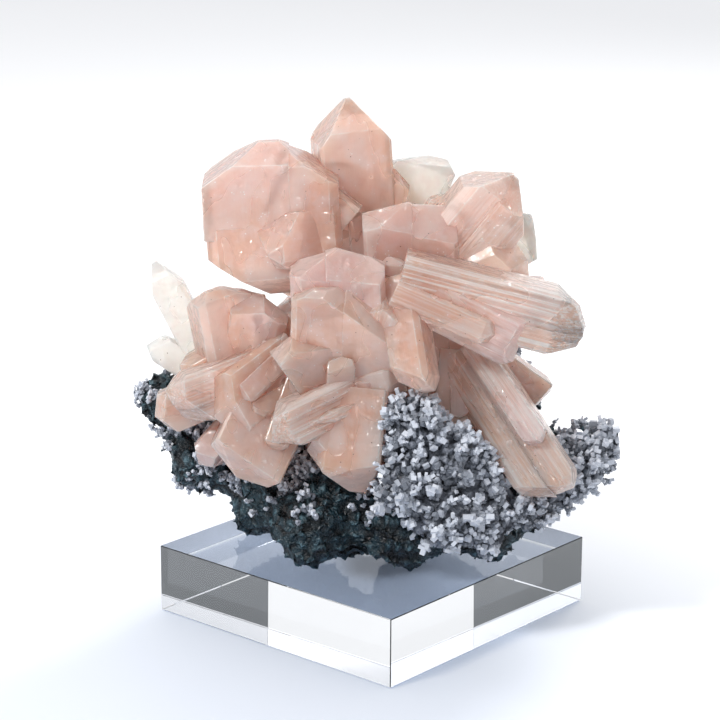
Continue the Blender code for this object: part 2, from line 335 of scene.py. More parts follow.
def mesh_object(name, bm, number=0):
    """An object from a bmesh in millimetres, with the crystal's number on its faces."""
    number_layer = bm.faces.layers.int.new("crystal")
    for face in bm.faces:
        face[number_layer] = number
    bmesh.ops.scale(bm, vec=(MM, MM, MM), verts=bm.verts)
    bmesh.ops.recalc_face_normals(bm, faces=bm.faces)
    return linked(name, bm)


def apply_modifiers(obj):
    """Replaces the object's mesh by its evaluated one."""
    graph = bpy.context.evaluated_depsgraph_get()
    graph.update()
    mesh = bpy.data.meshes.new_from_object(obj.evaluated_get(graph))
    obj.modifiers.clear()
    obj.data = mesh


def unite(body, pieces):
    """Joins the pieces to the body and removes them."""
    for piece in pieces:
        join = body.modifiers.new("Join", 'BOOLEAN')
        join.operation = 'UNION'
        join.solver = 'MANIFOLD'
        join.object = piece
    apply_modifiers(body)
    for piece in pieces:
        bpy.data.objects.remove(piece, do_unlink=True)


def crystal_frame(root, crystal):
    """The matrix, in millimetres, that stands a crystal on its root."""
    level = math.cos(crystal.nod)
    along = Vector((
        math.sin(crystal.lean) * level,
        -math.sin(crystal.nod),
        math.cos(crystal.lean) * level,
    ))
    width = along.cross(Vector((0.0, -1.0, 0.0))).normalized()
    thick = along.cross(width).normalized()
    turn = Matrix((width, thick, along)).transposed().to_4x4()
    return Matrix.Translation(root) @ turn @ Matrix.Rotation(crystal.spin, 4, 'Z')


def spans(size, wanted, dice):
    """Splits a size into spans of roughly the wanted width."""
    count = max(1, round(size / wanted))
    shares = [dice.uniform(*LATH_SPREAD) for _ in range(count)]
    ends = [-size / 2]
    for share in shares:
        ends.append(ends[-1] + size * share / sum(shares))
    return list(zip(ends, ends[1:]))


def make_bundle(root, crystal, number, dice):
    """A crystal as laths of uneven length, joined."""
    frame_of = crystal_frame(root, crystal)
    facets = crystal_facets(crystal, dice)
    lath_width = SMOOTH_LATH + (RIBBED_LATH - SMOOTH_LATH) * crystal.ribbed
    laths = []
    for x0, x1 in spans(crystal.width, lath_width, dice):
        for y0, y1 in spans(crystal.thickness, LATH_DEPTH, dice):
            trim = [dice.random() * SIDE_SETBACK for _ in range(4)]
            x_span = (max(x0 - LATH_OVERLAP, -crystal.width / 2) + trim[0],
                      min(x1 + LATH_OVERLAP + SIDE_SETBACK, crystal.width / 2) - trim[1])
            y_span = (max(y0 - LATH_OVERLAP, -crystal.thickness / 2) + trim[2],
                      min(y1 + LATH_OVERLAP + SIDE_SETBACK, crystal.thickness / 2) - trim[3])
            bm = make_lath(crystal, x_span, y_span, dice.random() * END_SETBACK, facets)
            if not bm.faces:
                bm.free()
                continue
            bm.transform(frame_of)
            laths.append(mesh_object("lath", bm, number))
    if laths[1:]:
        unite(laths[0], laths[1:])
    return laths[0]


def make_heart():
    """The lump inside the cluster that the sprays grow from."""
    bm = bmesh.new()
    bmesh.ops.create_icosphere(bm, subdivisions=2, radius=1.0)
    bmesh.ops.scale(bm, vec=HEART_SIZE, verts=bm.verts)
    bmesh.ops.translate(bm, vec=HEART_PLACE, verts=bm.verts)
    return mesh_object("stilbite_crystals", bm)


SATELLITE_FROM_WIDTH = 9.0
SATELLITES = 2
WIDE_TABLET = 30.0
SATELLITE_SEED = 21
LENGTH_SHARE = (0.50, 0.85)
SIZE_SHARE = (0.25, 0.50)
THINNEST = 2.6
ASIDE = 0.30
OUTWARDS = (0.28, 0.42)
LEAN_SPREAD = 7
NOD_SPREAD = 8
SPIN_SPREAD = 14
SMALL_POINT = (2.0, 6.0)
SMALL_BLUNT = (0.1, 0.6)


def satellites(root, crystal, dice):
    """Smaller crystals that grow against a large one, nearly along it."""
    frame_of = crystal_frame(root, crystal)
    small = []
    for _ in range(SATELLITES if crystal.width >= SATELLITE_FROM_WIDTH else 1):
        length = crystal.length * dice.uniform(*LENGTH_SHARE)
        width = crystal.width * dice.uniform(*SIZE_SHARE)
        thickness = max(THINNEST, crystal.thickness * dice.uniform(*SIZE_SHARE))
        offset = Vector((
            dice.uniform(-ASIDE, ASIDE) * crystal.width,
            dice.choice((-1, 1)) * dice.uniform(*OUTWARDS) * crystal.thickness,
            0.0,
        ))
        small.append((frame_of @ offset, Crystal(
            math.degrees(crystal.lean) + dice.uniform(-LEAN_SPREAD, LEAN_SPREAD),
            math.degrees(crystal.nod) + dice.uniform(-NOD_SPREAD, NOD_SPREAD),
            length, width, thickness,
            spin=math.degrees(crystal.spin) + dice.uniform(-SPIN_SPREAD, SPIN_SPREAD),
            point=dice.uniform(*SMALL_POINT), blunt=dice.uniform(*SMALL_BLUNT),
            ribbed=crystal.ribbed, pale=crystal.pale,
        )))
    return small


def listed_crystals():
    """Every crystal with its root and its satellites. The widest tablets stay smooth, without any."""
    dice = Random(SATELLITE_SEED)
    every = []
    for root, crystals in SPRAYS.values():
        for crystal in crystals:
            every.append((root, crystal))
            small = satellites(root, crystal, dice)
            if crystal.width < WIDE_TABLET:
                every.extend(small)
    return every


def build_cluster():
    """All crystals in one body."""
    dice = Random(CRYSTAL_SEED)
    cluster = make_heart()
    bundles = [make_bundle(root, crystal, number, dice)
               for number, (root, crystal) in enumerate(listed_crystals(), start=1)]
    unite(cluster, bundles)
    return cluster


cluster = build_cluster()
print("faces in the cluster:", len(cluster.data.polygons))

# %% [markdown]
# ## Broken edges
#
# A real crystal's edges are never razor sharp, and the thin broken line along them is what glints. A Bevel
# on every edge would also fill the corners between crystals, so only edges that stick out get a weight. The
# narrow faces take a second material slot for a moment, which is how they are told from the others.

# %% Break the outer edges
EDGE_WIDTH = 0.16
SHARP_FROM = math.radians(32)


def break_edges(obj):
    """Bevels the sharp outer edges and marks the new faces."""
    bm = bmesh.new()
    bm.from_mesh(obj.data)
    weight = bm.edges.layers.float.new("bevel_weight_edge")
    for edge in bm.edges:
        if edge.is_convex and edge.calc_face_angle(0.0) > SHARP_FROM:
            edge[weight] = 1.0
    bm.to_mesh(obj.data)
    bm.free()
    bevel = obj.modifiers.new("Edges", 'BEVEL')
    bevel.width = EDGE_WIDTH * MM
    bevel.segments = 1
    bevel.limit_method = 'WEIGHT'
    bevel.use_clamp_overlap = False
    bevel.material = 1
    obj.data.materials.clear()
    for name in ("faces", "edges"):
        obj.data.materials.append(bpy.data.materials.new(name))
    apply_modifiers(obj)
    marks = obj.data.attributes.new("edge", 'INT', 'FACE')
    for face in obj.data.polygons:
        marks.data[face.index].value = face.material_index
        face.material_index = 0


def keep_inside(obj, lowest):
    """Holds every point inside the object's own box and above a floor height, in millimetres."""
    floor = lowest * MM
    for vertex in obj.data.vertices:
        place_of = vertex.co
        for axis in range(3):
            place_of[axis] = max(CAD_BOX["low"][axis], min(CAD_BOX["high"][axis], place_of[axis]))
        place_of.z = max(floor, place_of.z)


break_edges(cluster)
keep_inside(cluster, STONE_TOP)
print("edge faces:", sum(item.value for item in cluster.data.attributes["edge"].data))

# %% [markdown]
# ## Directions for the lines
#
# The material needs to know which way each crystal grows. A UV map unwrapped by hand would be slow on so
# many crystals. Each face knows its crystal's number, so every corner's place is worked out in that
# crystal's own axes and kept as an attribute, in millimetres: across, through and along. Four more
# attributes hold the tint, the share of the way to the tip, the edge faces that get a painted highlight and
# the ribbed crystals.

# %% Store the growth axes and tints
PALE_TINT = 2.0
TINT_SEED = 11
HEART_TINT = 0.5
HEART_LENGTH = 30.0
GROWTH_SPACING = 61.0
MARKS = (
    ("growth", 'FLOAT_VECTOR'),
    ("tint", 'FLOAT'),
    ("tip", 'FLOAT'),
    ("edge_highlight", 'FLOAT'),
    ("ribbed", 'FLOAT'),
)


def store_growth(obj, dice):
    """Writes the marks from the faces' crystal numbers. Crystal 0 is the heart."""
    mesh = obj.data
    listed = listed_crystals()
    inverse = [Matrix.Identity(4)]
    inverse += [crystal_frame(root, crystal).inverted() for root, crystal in listed]
    lengths = [HEART_LENGTH] + [crystal.length for root, crystal in listed]
    tints = [HEART_TINT] + [PALE_TINT if crystal.pale else dice.random() for root, crystal in listed]
    ribs = [0.0] + [crystal.ribbed for root, crystal in listed]
    numbers = [item.value for item in mesh.attributes["crystal"].data]
    for name, kind in MARKS:
        mesh.attributes.new(name, kind, 'CORNER')
    edges = [item.value for item in mesh.attributes["edge"].data]
    growth, tint, tip, edge_highlight, ribbed = (mesh.attributes[name].data for name, kind in MARKS)
    for face in mesh.polygons:
        number = numbers[face.index]
        for corner in face.loop_indices:
            point = mesh.vertices[mesh.loops[corner].vertex_index].co / MM
            local = inverse[number] @ point
            growth[corner].vector = local + Vector((0, 0, GROWTH_SPACING * number))
            tint[corner].value = tints[number]
            tip[corner].value = max(0.0, min(1.0, local.z / lengths[number]))
            edge_highlight[corner].value = edges[face.index]
            ribbed[corner].value = ribs[number]


store_growth(cluster, Random(TINT_SEED))
print("marks on the cluster:", [name for name, kind in MARKS])

# %% [markdown]
# ## The rock's skin
#
# The matrix is weathered basalt, craggy and full of small pits. Sculpting it by hand could not be
# repeated, and a bump map leaves its outline smooth. Geometry Nodes carve it instead: a voxel skin of the
# solid is pushed inwards by cells and noise, and the depth of the carving is stored for the material.

# %% The carving tree
def node(tree, kind, inputs=None, **settings):
    """Adds a node, sets its properties, and fills its inputs with values or with links from sockets."""
    made = tree.nodes.new(kind)
    for name, value in settings.items():
        setattr(made, name, value)
    for slot, value in (inputs or {}).items():
        if isinstance(value, bpy.types.NodeSocket):
            tree.links.new(value, made.inputs[slot])
        else:
            made.inputs[slot].default_value = value
    return made


def math_node(tree, operation, first, second):
    """A Math node. Each input is a socket or a number."""
    return node(tree, "ShaderNodeMath", {0: first, 1: second}, operation=operation).outputs[0]


def times(tree, first, second):
    """Two masks, or a mask and a number, multiplied."""
    return math_node(tree, 'MULTIPLY', first, second)


def scaled(tree, vector, scale):
    """A vector multiplied by a number."""
    return node(tree, "ShaderNodeVectorMath", {0: vector, "Scale": scale}, operation='SCALE').outputs[0]


def add_socket(tree, name, kind, side='INPUT', value=None):
    """A named input or output of a tree."""
    socket = tree.interface.new_socket(name, in_out=side, socket_type='NodeSocket' + kind)
    if value is not None:
        socket.default_value = value


def new_tree(name, inputs):
    """A geometry tree with its two ends and with named float inputs and their defaults."""
    tree = bpy.data.node_groups.new(name, 'GeometryNodeTree')
    add_socket(tree, "Geometry", 'Geometry')
    for label, value in inputs:
        add_socket(tree, label, 'Float', value=value)
    add_socket(tree, "Geometry", 'Geometry', 'OUTPUT')
    return tree, node(tree, "NodeGroupInput"), node(tree, "NodeGroupOutput")


def finish_tree(tree, entry, leave, geometry):
    """Ends a tree with Realize Instances and Set Material, whose material is the tree's last input."""
    add_socket(tree, "Finish", 'Material')
    real = node(tree, "GeometryNodeRealizeInstances", {0: geometry})
    finish = node(tree, "GeometryNodeSetMaterial",
                  {"Geometry": real.outputs[0], "Material": entry.outputs["Finish"]})
    tree.links.new(finish.outputs[0], leave.inputs[0])
    return tree


CARVING_INPUTS = (
    ("Cell scale", 300.0),
    ("Cell depth", 0.001),
    ("Grain scale", 900.0),
    ("Grain depth", 0.0004),
)
CELL_SOFTNESS = 0.25
GRAIN_DETAIL = 3.0


def carving_tree(name):
    """Pushes a surface inwards by cells and grain, and stores how high each point stays."""
    tree, entry, leave = new_tree(name, CARVING_INPUTS)
    position = node(tree, "GeometryNodeInputPosition").outputs[0]
    cells = node(tree, "ShaderNodeTexVoronoi", {
        "Vector": scaled(tree, position, entry.outputs["Cell scale"]),
        "Scale": 1.0,
        "Smoothness": CELL_SOFTNESS,
    }, feature='SMOOTH_F1')
    grain = node(tree, "ShaderNodeTexNoise", {
        "Vector": scaled(tree, position, entry.outputs["Grain scale"]),
        "Scale": 1.0,
        "Detail": GRAIN_DETAIL,
    })
    hollow = times(tree, cells.outputs["Distance"], entry.outputs["Cell depth"])
    pits = times(tree, grain.outputs[0], entry.outputs["Grain depth"])
    depth = math_node(tree, 'ADD', hollow, pits)
    normal = node(tree, "GeometryNodeInputNormal").outputs[0]
    total = math_node(tree, 'ADD', entry.outputs["Cell depth"], entry.outputs["Grain depth"])
    height = math_node(tree, 'SUBTRACT', 1.0, math_node(tree, 'DIVIDE', depth, total))
    keep = node(tree, "GeometryNodeStoreNamedAttribute",
                {"Geometry": entry.outputs["Geometry"], "Name": "relief", "Value": height},
                data_type='FLOAT', domain='POINT')
    push = node(tree, "GeometryNodeSetPosition", {
        "Geometry": keep.outputs[0],
        "Offset": scaled(tree, normal, times(tree, depth, -1.0)),
    })
    return finish_tree(tree, entry, leave, push.outputs[0])


def add_nodes(obj, tree, **values):
    """Puts a tree on an object and sets its named inputs."""
    modifier = obj.modifiers.new(tree.name, 'NODES')
    modifier.node_group = tree
    sockets = {item.name: item.identifier for item in tree.interface.items_tree if item.in_out == 'INPUT'}
    for name, value in values.items():
        modifier[sockets[name.replace("_", " ")]] = value


def sockets_of(tree, side):
    """The names of a tree's inputs or outputs."""
    return [item.name for item in tree.interface.items_tree if item.in_out == side]


CARVING = carving_tree("carve_stone")
print("the tree's inputs:", sockets_of(CARVING, 'INPUT'))

# %% [markdown]
# ## Knobs on a surface
#
# Both stones are botryoidal: they grew as rounded knobs, one against the other. Modelling hundreds of them
# one by one makes no sense, and a displaced surface has no overhangs. A scattering tree puts balls on the
# solid instead, and a voxel remesh fuses them with it into one skin.

# %% The scattering tree
SCATTER_INPUTS = (("Density", 20000.0), ("Smallest", 0.0005), ("Largest", 0.001), ("Seed", 1.0))


def random_points(tree, entry, density):
    """Random points on the tree's surface."""
    return node(tree, "GeometryNodeDistributePointsOnFaces", {
        "Mesh": entry.outputs["Geometry"],
        "Density": density,
        "Seed": entry.outputs["Seed"],
    }, distribute_method='RANDOM').outputs


def copies_on(tree, entry, points, shape, **turn):
    """Copies of a shape on the points, with sizes between the tree's smallest and largest."""
    size = node(tree, "FunctionNodeRandomValue",
                {2: entry.outputs["Smallest"], 3: entry.outputs["Largest"]}, data_type='FLOAT')
    return node(tree, "GeometryNodeInstanceOnPoints",
                {"Points": points["Points"], "Instance": shape, "Scale": size.outputs[1], **turn}).outputs[0]


def scatter_tree(name):
    """Balls of mixed sizes scattered over a surface."""
    tree, entry, leave = new_tree(name, SCATTER_INPUTS)
    points = random_points(tree, entry, entry.outputs["Density"])
    ball = node(tree, "GeometryNodeMeshIcoSphere", {"Radius": 1.0, "Subdivisions": 1})
    return finish_tree(tree, entry, leave, copies_on(tree, entry, points, ball.outputs["Mesh"]))


def scattered(surface, tree, name, **values):
    """The shapes that a tree scatters over a surface, as an object of their own."""
    obj = in_scene(name, surface.data.copy())
    add_nodes(obj, tree, **values)
    apply_modifiers(obj)
    return obj


KNOBS = scatter_tree("scatter_knobs")
print("scattering tree:", KNOBS.name)

# %% [markdown]
# ## The rock
#
# The solid and its knobs become one fine skin, which the carving tree then pits. All carving goes inwards,
# and a last pass holds every point inside the object's own box and above the block.

# %% Carve the rock
ROCK_SKIN = 0.80
CRUST_SKIN = 0.60
SAME_PLACE = 0.001


def skin_of(node_name, name, extra, voxel):
    """A fine voxel skin of a solid joined with an extra object, with voxels in millimetres."""
    bm = bmesh.new()
    bm.from_mesh(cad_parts[node_name].data)
    bmesh.ops.remove_doubles(bm, verts=bm.verts, dist=SAME_PLACE * MM)
    bm.from_mesh(extra.data)
    bpy.data.objects.remove(extra, do_unlink=True)
    obj = linked(name, bm)
    fuse = obj.modifiers.new("Fuse", 'REMESH')
    fuse.mode = 'VOXEL'
    fuse.voxel_size = voxel * MM
    apply_modifiers(obj)
    return obj


def grow_skin(node_name, name, voxel, knobs, carving):
    """A solid's skin with knobs fused on and its surface carved."""
    extra = scattered(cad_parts[node_name], KNOBS, name + "_knobs", **knobs)
    obj = skin_of(node_name, name, extra, voxel)
    add_nodes(obj, CARVING, **carving)
    apply_modifiers(obj)
    keep_inside(obj, STONE_TOP)
    obj.data.shade_smooth()
    return obj


ROCK_KNOBS = {"Density": 90000.0, "Smallest": 0.0007, "Largest": 0.0019, "Seed": 2.0}
ROCK_CARVING = {"Cell_scale": 380.0, "Cell_depth": 0.0022, "Grain_scale": 1000.0, "Grain_depth": 0.0012}
rock = grow_skin("basalt_matrix", "basalt_skin", ROCK_SKIN, ROCK_KNOBS, ROCK_CARVING)
print("faces on the rock:", len(rock.data.polygons))

# %% [markdown]
# ## The crust's twigs
#
# The pale crust is a druse: small blocky crystals stacked into twigs, white at their tips, with painted shade
# making them grey below.
# Such a twig could be grown by a simulation. A short random walk of cubes gives the same look, and a
# handful of twigs, turned and scaled at random, is enough for thousands.

# %% Make some twigs
TWIGS = 5
TWIG_BLOCKS = 7
TWIG_STEP = 0.24
TWIG_SEED = 17
RECENT = 3
STEP_ASIDE = 0.6
STEP_UP = (0.2, 1.0)
GRAIN_SIZES = ((0.15, 0.28), (0.13, 0.24), (0.18, 0.36))


def make_twig(dice):
    """A stack of cubes about one unit tall, which stores how high each cube sits."""
    bm = bmesh.new()
    heights = bm.verts.layers.float.new("height")
    spots = [Vector((0, 0, 0))]
    for _ in range(TWIG_BLOCKS):
        spot = dice.choice(spots[-RECENT:])
        step = Vector([dice.uniform(-STEP_ASIDE, STEP_ASIDE) for _ in range(2)] + [dice.uniform(*STEP_UP)])
        spots.append(spot + step * TWIG_STEP)
        angle = dice.uniform(0, math.tau)
        turn = Matrix.Rotation(angle, 4, Vector([dice.uniform(-1, 1) for _ in range(3)]))
        size = [dice.uniform(*ends) for ends in GRAIN_SIZES]
        where = Matrix.Translation(spots[-1]) @ turn @ Matrix.Diagonal((*size, 1.0))
        cube = bmesh.ops.create_cube(bm, size=1.0, matrix=where)
        for vertex in cube["verts"]:
            vertex[heights] = spots[-1].z
    return linked("twig", bm)


twig_dice = Random(TWIG_SEED)
twigs = [make_twig(twig_dice) for _ in range(TWIGS)]
print("twigs:", len(twigs), "with faces:", [len(twig.data.polygons) for twig in twigs])

# %% [markdown]
# ## Plant the twigs
#
# The tree reads a mask from the surface, so that the druse stands in clumps on the whole crust but only on
# the rock's front rim. Each twig stands along the surface's normal with a pull upwards, as such crusts grow.

# %% The planting tree
UPWARD_PULL = 0.5
WILDNESS = 0.5


def random_vector(tree, lowest, highest):
    """A random vector for each point."""
    return node(tree, "FunctionNodeRandomValue", {0: lowest, 1: highest}, data_type='FLOAT_VECTOR').outputs[0]


def planting_tree(name):
    """Copies of one twig where the surface's mask allows."""
    tree, entry, leave = new_tree(name, SCATTER_INPUTS)
    add_socket(tree, "Twig", 'Object')
    mask = node(tree, "GeometryNodeInputNamedAttribute", {"Name": "druse"}, data_type='FLOAT')
    density = times(tree, mask.outputs["Attribute"], entry.outputs["Density"])
    points = random_points(tree, entry, density)
    wild = random_vector(tree, (-WILDNESS, -WILDNESS, UPWARD_PULL - WILDNESS),
                         (WILDNESS, WILDNESS, UPWARD_PULL + WILDNESS))
    growing = node(tree, "ShaderNodeVectorMath", {0: points["Normal"], 1: wild}, operation='ADD')
    stand = node(tree, "FunctionNodeAlignRotationToVector", {"Vector": growing.outputs[0]}, axis='Z')
    around = random_vector(tree, (0, 0, 0), (0, 0, math.tau))
    spin = node(tree, "FunctionNodeRotateRotation", {0: stand.outputs[0], 1: around}, rotation_space='LOCAL')
    twig = node(tree, "GeometryNodeObjectInfo", {"Object": entry.outputs["Twig"]})
    copies = copies_on(tree, entry, points, twig.outputs["Geometry"], Rotation=spin.outputs[0])
    return finish_tree(tree, entry, leave, copies)


PLANTING = planting_tree("plant_twigs")
print("the tree's inputs:", sockets_of(PLANTING, 'INPUT'))

# %% [markdown]
# ## The crust and the rim
#
# The crust's own skin stays low between the twigs, and its colour there is dark with painted shade. On the
# rock, the mask follows the height above the block and a noise, which leaves the broken rim of druse that
# sits under the crystals.

# %% Grow the druse
RIM_FROM = 31.0
RIM_FULL = 38.0
RIM_FRONT = (-14.0, 4.0)
RIM_PATCH = 8.0
RIM_GAPS = (-0.06, 0.06)
CRUST_PATCH = 4.2
CRUST_GAPS = (-0.16, 0.14)


def share(value, start, end):
    """How far a value has come from start to end, from 0 to 1."""
    return max(0.0, min(1.0, (value - start) / (end - start)))


def paint_druse(obj, rule):
    """Writes the mask that says where twigs grow. The rule takes a point in millimetres."""
    mask = obj.data.attributes.new("druse", 'FLOAT', 'POINT').data
    for vertex in obj.data.vertices:
        mask[vertex.index].value = rule(vertex.co / MM)


def crust_rule(point):
    """Twigs in clumps all over the crust, with gaps between the clumps."""
    return share(noise.noise(point / CRUST_PATCH), *CRUST_GAPS)


def rim_rule(point):
    """Druse on the rock's upper rim, broken up by a noise, and not at the back."""
    broken = share(noise.noise(point / RIM_PATCH), *RIM_GAPS)
    return share(point.z, RIM_FROM, RIM_FULL) * broken * share(-point.y, *RIM_FRONT)


def plant(surface, name, density, smallest, largest, seed):
    """Every kind of twig on a surface, joined into one object."""
    bm = bmesh.new()
    for index, twig in enumerate(twigs):
        patch = scattered(surface, PLANTING, name, Density=density / TWIGS,
                          Smallest=smallest, Largest=largest, Seed=seed + index, Twig=twig)
        bm.from_mesh(patch.data)
        bpy.data.objects.remove(patch, do_unlink=True)
    obj = linked(name, bm)
    keep_inside(obj, STONE_TOP)
    return obj


CRUST_KNOBS = {"Density": 60000.0, "Smallest": 0.0006, "Largest": 0.0018, "Seed": 3.0}
CRUST_CARVING = {"Cell_scale": 420.0, "Cell_depth": 0.0024, "Grain_scale": 1700.0, "Grain_depth": 0.0008}
crust = grow_skin("chalcedony_crust", "chalcedony_skin", CRUST_SKIN, CRUST_KNOBS, CRUST_CARVING)
paint_druse(crust, crust_rule)
paint_druse(rock, rim_rule)
crust_twigs = plant(crust, "chalcedony_twigs", density=440000.0, smallest=0.0022, largest=0.0060, seed=5)
rim_twigs = plant(rock, "rim_twigs", density=340000.0, smallest=0.0020, largest=0.0040, seed=31)
for twig in twigs:
    bpy.data.objects.remove(twig, do_unlink=True)
print("faces on the crust, its twigs and the rim's twigs:",
      [len(obj.data.polygons) for obj in (crust, crust_twigs, rim_twigs)])

# %% [markdown]
# ## A shared grain
#
# Crystal, rock and crust all break up in fine grain under a soft light. One node group gives coarse patches
# and a fine grain at sizes of its user's choice, so that each material says only how coarse and how strong
# it wants them.

# %% The grain group
GRAIN_LAYERS = (("Patch scale", 80.0, "Patches", 3.0), ("Fine scale", 1200.0, "Fine", 2.0))


def grain_group():
    """A node group with a coarse and a fine noise."""
    group = bpy.data.node_groups.new("stone_grain", 'ShaderNodeTree')
    add_socket(group, "Vector", 'Vector')
    for scale, value, output, detail in GRAIN_LAYERS:
        add_socket(group, scale, 'Float', value=value)
        add_socket(group, output, 'Float', 'OUTPUT')
    entry = node(group, "NodeGroupInput")
    leave = node(group, "NodeGroupOutput")
    for scale, value, output, detail in GRAIN_LAYERS:
        texture = node(group, "ShaderNodeTexNoise", {
            "Vector": entry.outputs["Vector"],
            "Scale": entry.outputs[scale],
            "Detail": detail,
        })
        group.links.new(texture.outputs["Fac"], leave.inputs[output])
    return group


GRAIN = grain_group()
print("outputs of the grain group:", sockets_of(GRAIN, 'OUTPUT'))

# %% [markdown]
# ## Painting with nodes
#
# Each material is a short chain: a grain or an attribute makes a mask, and the mask lays one colour over
# another. A few small helpers keep those chains readable.

# %% Material helpers
DOT_EDGE = 0.6


def new_material(name, **settings):
    """A material with its Principled shader, whose sockets take the given values."""
    material = bpy.data.materials.new(name)
    material.use_nodes = True
    shader = material.node_tree.nodes["Principled BSDF"]
    for socket, value in settings.items():
        shader.inputs[socket.replace("_", " ")].default_value = value
    return material, material.node_tree, shader


def feed(tree, shader, **sockets):
    """Links sockets to the shader's inputs."""
    for name, socket in sockets.items():
        tree.links.new(socket, shader.inputs[name.replace("_", " ")])


def mask_of(tree, value, start, end):
    """A soft step: 0 below start and 1 above end."""
    return node(tree, "ShaderNodeMapRange", {"From Min": start, "From Max": end, "Value": value},
                interpolation_type='SMOOTHSTEP').outputs["Result"]


def layered(tree, colour, layers):
    """Lays colours over a first one, each through its own mask. A colour is three numbers or a socket."""
    for mask, over in layers:
        first, second = ((*item, 1.0) if isinstance(item, tuple) else item for item in (colour, over))
        colour = node(tree, "ShaderNodeMix", {0: mask, 6: first, 7: second}, data_type='RGBA').outputs[2]
    return colour


def mix_value(tree, mask, first, second):
    """A number that a mask moves from first to second."""
    return node(tree, "ShaderNodeMapRange",
                {"To Min": first, "To Max": second, "Value": mask}).outputs["Result"]


def bump(tree, height, distance, strength, **below):
    """A bump in metres, over another one if a Normal is given."""
    return node(tree, "ShaderNodeBump",
                {"Distance": distance, "Strength": strength, "Height": height, **below}).outputs["Normal"]


def grain_node(tree, vector, patch_scale, fine_scale):
    """The shared grain with this material's own sizes."""
    made = node(tree, "ShaderNodeGroup",
                {"Vector": vector, "Patch scale": patch_scale, "Fine scale": fine_scale}, node_tree=GRAIN)
    return made.outputs["Patches"], made.outputs["Fine"]


def attribute(tree, name, output="Fac"):
    """An attribute of the mesh."""
    return node(tree, "ShaderNodeAttribute", attribute_name=name).outputs[output]


def object_place(tree):
    """Object coordinates."""
    return node(tree, "ShaderNodeTexCoord").outputs["Object"]


def stretched_noise(tree, vector, stretch, detail, distortion=0.0):
    """A noise with its own scale along each axis."""
    mapping = node(tree, "ShaderNodeMapping", {"Vector": vector, "Scale": stretch})
    return node(tree, "ShaderNodeTexNoise", {
        "Vector": mapping.outputs[0],
        "Scale": 1.0,
        "Detail": detail,
        "Distortion": distortion,
    }).outputs["Fac"]


def cell_distance(tree, vector, scale):
    """How far each point lies from the middle of its Voronoi cell."""
    return node(tree, "ShaderNodeTexVoronoi", {"Vector": vector, "Scale": scale}).outputs["Distance"]


def dots(tree, vector, scale, size):
    """A mask of small dots, one in each cell."""
    return mask_of(tree, cell_distance(tree, vector, scale), size, size * DOT_EDGE)


print("helpers ready")

# %% [markdown]
# ## Stilbite
#
# Stilbite is peach to pink, milky rather than clear, with a pearly sheen and fine lines along its sheaves.
# Clear refraction would need a real interior full of cracks, so scattering under the surface and a share of
# transmission carry the glow, and the growth attribute stretches a noise into the lines.

# %% The crystals' material
PEACH = (0.820, 0.560, 0.450)
LILAC = (0.790, 0.570, 0.540)
ORANGE = (0.830, 0.490, 0.345)
ROOT_SHADE = (0.760, 0.470, 0.360)
MILK = (0.830, 0.690, 0.640)
PALE_GLOW = (0.950, 0.890, 0.820)
WHITE = (1.0, 0.980, 0.950)
SPECK = (0.160, 0.080, 0.050)
SCATTER_RADIUS = (1.0, 0.84, 0.76)
LINE_STRETCH = (2.0, 2.0, 0.012)
CLOUD_STRETCH = (0.09, 0.09, 0.06)
RIPPLE_STRETCH = (260.0, 260.0, 260.0)
WARM_BETWEEN = (0.080, 0.120)
SPECK_SCALE = 330.0
SPARKLE_SCALE = 900.0
WAVE_SCALE = 420.0


